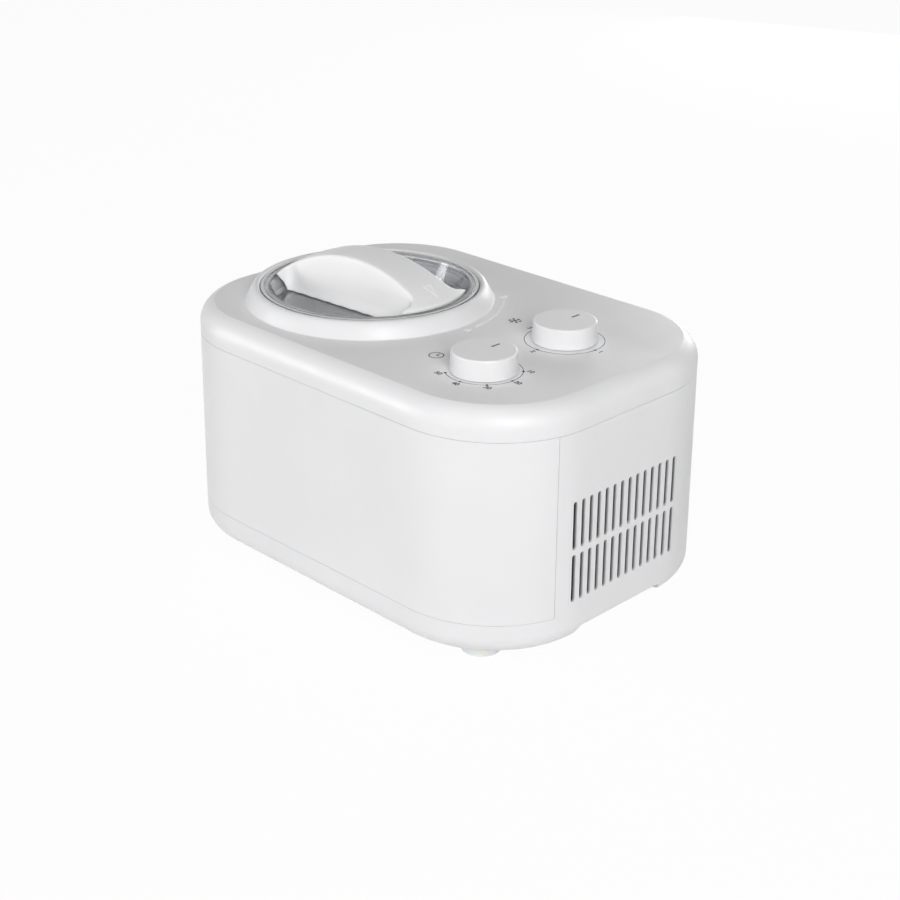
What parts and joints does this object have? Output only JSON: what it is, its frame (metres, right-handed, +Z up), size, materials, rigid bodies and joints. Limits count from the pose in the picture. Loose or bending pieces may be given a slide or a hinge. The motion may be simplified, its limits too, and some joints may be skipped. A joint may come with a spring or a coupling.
{
  "type": "ice cream maker",
  "caption": "Countertop compressor ice cream maker: rounded box body, round lid with arched handle over a lift-out bowl, two dial knobs on the deck and air slots in one end.",
  "frame": {"origin": "centre of the footprint on the surface that the feet stand on", "axes": "+Z up, +X along the length towards the end with the air slots, -Y is the front long side"},
  "size_m": [0.3632, 0.2612, 0.2275],
  "materials": {
    "white_shell": "satin white moulded plastic",
    "white_knob": "fine satin white plastic",
    "clear_lid": "clear smoky moulded plastic",
    "dark_inlay": "dark grey moulded inlay",
    "pale_rubber": "milky soft rubber",
    "grey_rubber": "grey silicone",
    "bare_aluminium": "drawn aluminium",
    "bright_steel": "zinc plated steel",
    "black_paint": "black stove enamel",
    "copper": "drawn copper tube",
    "bronze": "sintered bronze",
    "foam": "rigid insulating foam",
    "black_plastic": "black moulded plastic",
    "grey_plastic": "grey moulded plastic",
    "gear_nylon": "natural nylon",
    "board_green": "green circuit laminate"
  },
  "bodies": {
    "housing": {"base_shell": "white_shell", "wrap_panel": "white_shell", "top_cover": "white_shell", "cord_gland": "grey_rubber", "feet": "pale_rubber", "foot_screws": "bright_steel", "tie_posts": "grey_plastic", "tie_screws": "bright_steel", "cooling_well": "bare_aluminium", "well_gasket": "grey_rubber", "evaporator_coil": "copper", "foam_jacket": "foam", "support_plate": "bright_steel", "plate_screws": "bright_steel", "bearing_tube": "grey_plastic", "shaft_bush": "bronze", "shaft_seal": "grey_rubber", "idler_pin": "bright_steel", "gearbox_housing": "black_plastic", "gearbox_cover": "black_plastic", "motor_can": "bright_steel", "motor_stator": "bright_steel", "compressor_can": "black_paint", "compressor_cap": "black_paint", "compressor_pump": "bright_steel", "compressor_plate": "black_paint", "compressor_mounts": "grey_rubber", "compressor_bolts": "bright_steel", "terminal_cover": "black_plastic", "condenser_fins": "bare_aluminium", "condenser_tube": "copper", "filter_drier": "copper", "capillary": "copper", "suction_pipe": "copper", "discharge_pipe": "copper", "fan_frame": "black_plastic", "fan_stator": "black_plastic", "timer_switch": "grey_plastic", "menu_switch": "grey_plastic", "switch_nuts": "bright_steel", "control_board": "board_green", "board_parts": "black_plastic"},
    "bowl": {"bowl": "bare_aluminium"},
    "paddle": {"paddle": "grey_plastic"},
    "lid_seal": {"lid_seal": "grey_rubber"},
    "lid": {"lid_window": "clear_lid", "lid_handle": "white_knob", "lid_screws": "bright_steel"},
    "time_knob": {"time_knob": "white_knob", "time_pointer": "dark_inlay", "time_spindle": "bright_steel"},
    "menu_knob": {"menu_knob": "white_knob", "menu_pointer": "dark_inlay", "menu_spindle": "bright_steel"},
    "motor": {"motor_rotor": "bright_steel", "motor_pinion": "bronze"},
    "idler": {"idler_gear": "gear_nylon"},
    "drive": {"drive_shaft": "bright_steel", "output_gear": "gear_nylon"},
    "fan": {"fan_rotor": "black_plastic"}
  },
  "joints": [
    {"name": "bowl_lift", "type": "slide", "parent": "housing", "child": "bowl", "axis": [0, 0, 1], "range_m": [0, 0.15]},
    {"name": "paddle_turn", "type": "hinge", "parent": "bowl", "child": "paddle", "pos_m": [-0.065, -0.0135, 0.1], "axis": [0, 0, 1], "continuous": true},
    {"name": "lid_lift", "type": "slide", "parent": "bowl", "child": "lid_seal", "axis": [0, 0, 1], "range_m": [0, 0.12]},
    {"name": "lid_turn", "type": "hinge", "parent": "lid_seal", "child": "lid", "pos_m": [-0.065, -0.0135, 0.194], "axis": [0, 0, 1], "range_deg": [0, 45]},
    {"name": "time_knob_turn", "type": "hinge", "parent": "housing", "child": "time_knob", "pos_m": [0.0995, -0.06, 0.2], "axis": [0, 0, 1], "range_deg": [-214, 0]},
    {"name": "menu_knob_turn", "type": "hinge", "parent": "housing", "child": "menu_knob", "pos_m": [0.0985, 0.0241, 0.2], "axis": [0, 0, 1], "range_deg": [-270, 0]},
    {"name": "motor_turn", "type": "hinge", "parent": "housing", "child": "motor", "pos_m": [-0.101, 0.0165, 0.044], "axis": [0, 0, 1], "continuous": true},
    {"name": "idler_turn", "type": "hinge", "parent": "housing", "child": "idler", "pos_m": [-0.101, -0.0135, 0.059], "axis": [0, 0, 1], "continuous": true},
    {"name": "drive_turn", "type": "hinge", "parent": "housing", "child": "drive", "pos_m": [-0.065, -0.0135, 0.064], "axis": [0, 0, 1], "continuous": true},
    {"name": "fan_turn", "type": "hinge", "parent": "housing", "child": "fan", "pos_m": [0.13, 0, 0.072], "axis": [1, 0, 0], "continuous": true}
  ],
  "couplings": [
    {"joint": "idler_turn", "follows": "motor_turn", "ratio": -0.25},
    {"joint": "drive_turn", "follows": "motor_turn", "ratio": 0.05},
    {"joint": "paddle_turn", "follows": "motor_turn", "ratio": 0.05}
  ]
}
